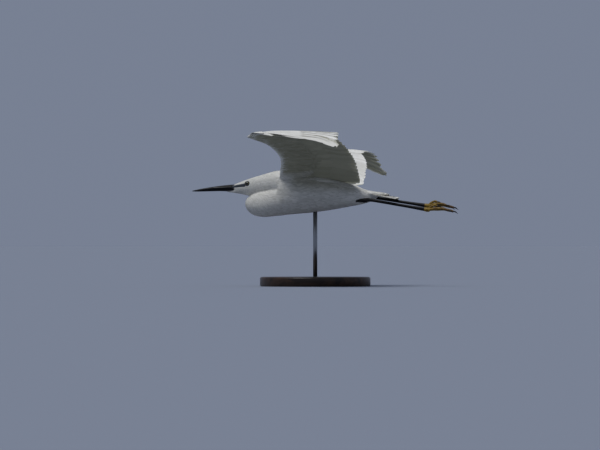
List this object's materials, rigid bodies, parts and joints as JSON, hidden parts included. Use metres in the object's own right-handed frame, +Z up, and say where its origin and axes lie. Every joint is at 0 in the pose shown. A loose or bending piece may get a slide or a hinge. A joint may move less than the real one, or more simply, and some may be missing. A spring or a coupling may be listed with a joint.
{
  "type": "little egret",
  "caption": "White wading bird in flight with half-folded wings, drawn-in neck and trailing legs, held by a rod on a round flat base.",
  "frame": {"origin": "middle of the underside of the stand's round base, on the floor", "axes": "+Z up; the bird's bill points towards -X and its tail and legs towards +X; its left wing points towards -Y and its right wing towards +Y"},
  "size_m": [0.5129, 0.6653, 0.2973],
  "materials": {
    "plumage": "white feathers",
    "bill": "smooth black horn",
    "eye": "clear pale yellow",
    "leg_skin": "scaly black skin",
    "foot_skin": "scaly yellow skin",
    "claw": "black horn",
    "stand_wood": "dark, satin varnish",
    "stand_steel": "brushed"
  },
  "bodies": {
    "root": {"bill_upper": "bill", "bill_lower": "bill", "head": "plumage", "neck_upper": "plumage", "neck_lower": "plumage", "torso": "plumage", "tail": "plumage", "eye_left": "eye", "wing_arm_left": "plumage", "wing_hand_left": "plumage", "thigh_left": "plumage", "shank_left": "leg_skin", "tarsus_left": "leg_skin", "foot_left": "foot_skin", "claw_inner_left": "claw", "claw_middle_left": "claw", "claw_outer_left": "claw", "claw_hind_left": "claw", "eye_right": "eye", "wing_arm_right": "plumage", "wing_hand_right": "plumage", "thigh_right": "plumage", "shank_right": "leg_skin", "tarsus_right": "leg_skin", "foot_right": "foot_skin", "claw_inner_right": "claw", "claw_middle_right": "claw", "claw_outer_right": "claw", "claw_hind_right": "claw", "stand_base": "stand_wood", "stand_rod": "stand_steel"}
  },
  "joints": []
}
